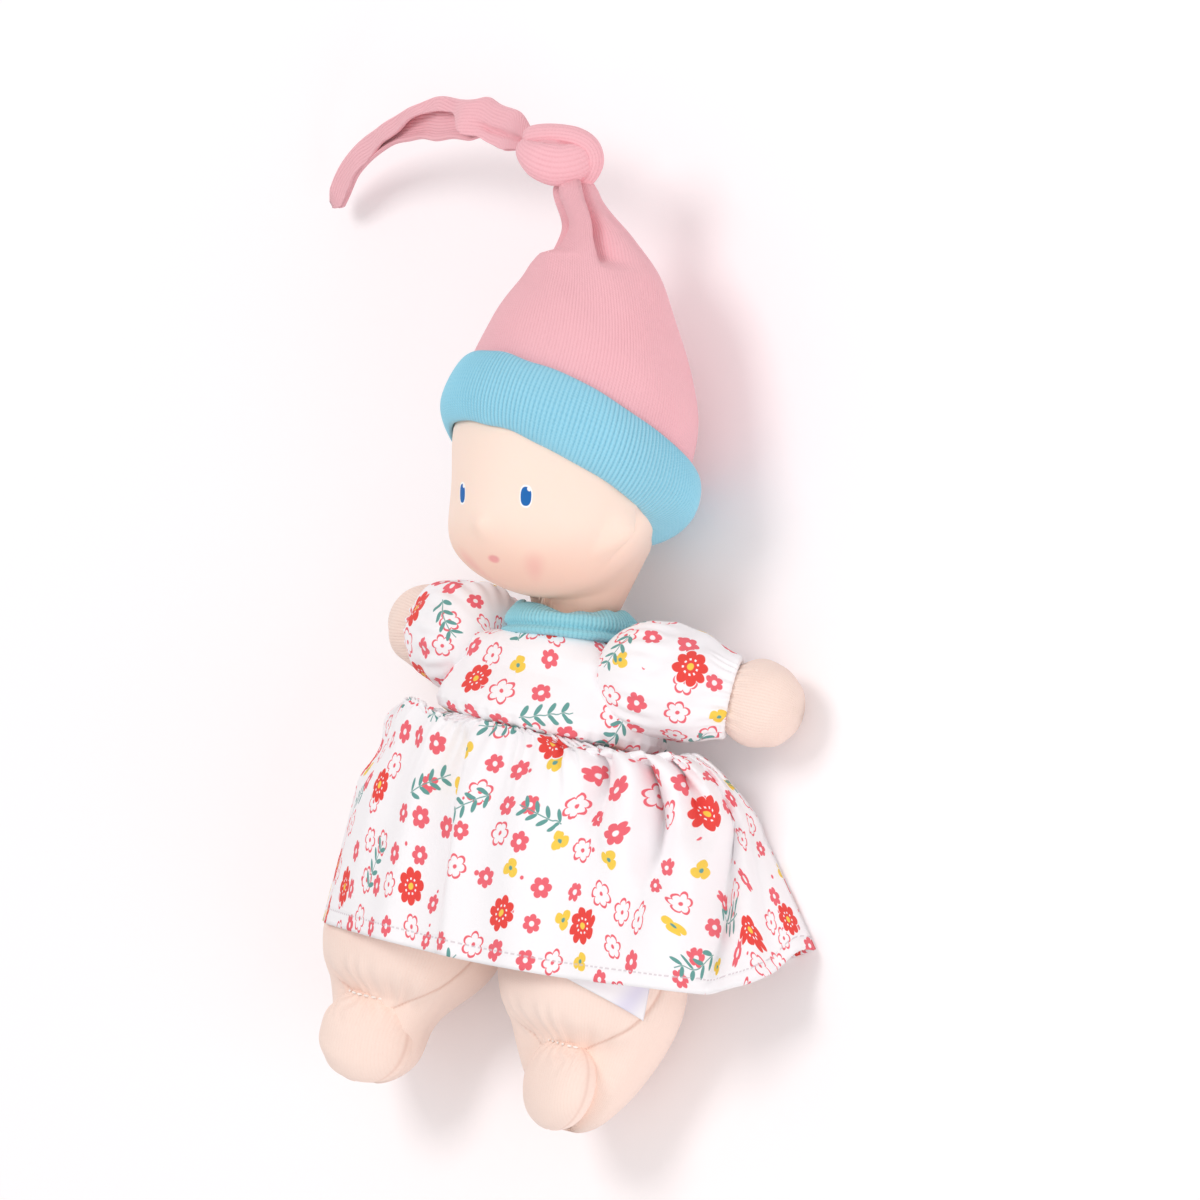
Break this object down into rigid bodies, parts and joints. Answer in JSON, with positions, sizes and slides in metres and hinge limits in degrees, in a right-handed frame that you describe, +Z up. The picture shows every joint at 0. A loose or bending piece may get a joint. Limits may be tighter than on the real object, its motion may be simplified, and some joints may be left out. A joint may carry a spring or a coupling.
{
  "type": "rubber head doll",
  "caption": "Soft doll lying on its back: hollow rubber head on a stuffed knit body, knotted knit hat with ribbed cuff, gathered cotton dress, stuffed arms and legs",
  "frame": {"origin": "the rest point under the doll's back, on the flat of the skirt's back panel", "axes": "+Z up and out of the chest, +Y towards the head, +X towards the doll's left hand"},
  "size_m": [0.1767, 0.219, 0.0616],
  "materials": {
    "rubber_skin": "soft matt rubber with painted features",
    "rubber_plug": "matt",
    "skin_knit": "brushed knit",
    "filling": "polyester fibre",
    "dress_cotton": "printed woven cotton",
    "blue_rib": "ribbed knit",
    "pink_knit": "jersey knit",
    "elastic": "woven elastic",
    "satin": "satin ribbon"
  },
  "bodies": {
    "torso": {"body_bag": "skin_knit", "body_filling": "filling", "bodice": "dress_cotton", "skirt_front": "dress_cotton", "skirt_back": "dress_cotton", "waist_elastic": "elastic", "collar": "blue_rib", "neck_tie": "elastic"},
    "head": {"head_shell": "rubber_skin", "neck_stopper": "rubber_plug"},
    "hat": {"hat_crown": "pink_knit", "hat_cuff": "blue_rib", "hat_knot": "pink_knit"},
    "tail": {"hat_tail": "pink_knit"},
    "left_arm": {"left_arm": "skin_knit", "left_arm_filling": "filling", "left_sleeve": "dress_cotton", "left_sleeve_elastic": "elastic"},
    "right_arm": {"right_arm": "skin_knit", "right_arm_filling": "filling", "right_sleeve": "dress_cotton", "right_sleeve_elastic": "elastic"},
    "left_leg": {"left_leg": "skin_knit", "left_leg_filling": "filling", "left_foot": "skin_knit", "care_label": "satin"},
    "right_leg": {"right_leg": "skin_knit", "right_leg_filling": "filling", "right_foot": "skin_knit"}
  },
  "joints": [
    {"name": "head_turn", "type": "hinge", "parent": "torso", "child": "head", "pos_m": [0, 0.051, 0.022], "axis": [-0.1392, 0.9903, 0], "range_deg": [-6, 35]},
    {"name": "hat_off", "type": "slide", "parent": "head", "child": "hat", "axis": [-0.1392, 0.9903, 0], "range_m": [0, 0.07]},
    {"name": "tail_swing", "type": "hinge", "parent": "hat", "child": "tail", "pos_m": [-0.02089, 0.15056, 0.03759], "axis": [0, 0, 1], "range_deg": [-60, 15]},
    {"name": "left_arm_swing", "type": "hinge", "parent": "torso", "child": "left_arm", "pos_m": [0.0255, 0.042, 0.023], "axis": [0, -1, 0], "range_deg": [0, 70]},
    {"name": "right_arm_swing", "type": "hinge", "parent": "torso", "child": "right_arm", "pos_m": [-0.0255, 0.042, 0.023], "axis": [0, 1, 0], "range_deg": [0, 70]},
    {"name": "left_hip", "type": "hinge", "parent": "torso", "child": "left_leg", "pos_m": [0.0225, -0.01, 0.0201], "axis": [-1, 0, 0], "range_deg": [0, 60], "deforming": ["skirt_front"]},
    {"name": "right_hip", "type": "hinge", "parent": "torso", "child": "right_leg", "pos_m": [-0.0225, -0.01, 0.0201], "axis": [-1, 0, 0], "range_deg": [0, 60], "deforming": ["skirt_front"]}
  ]
}
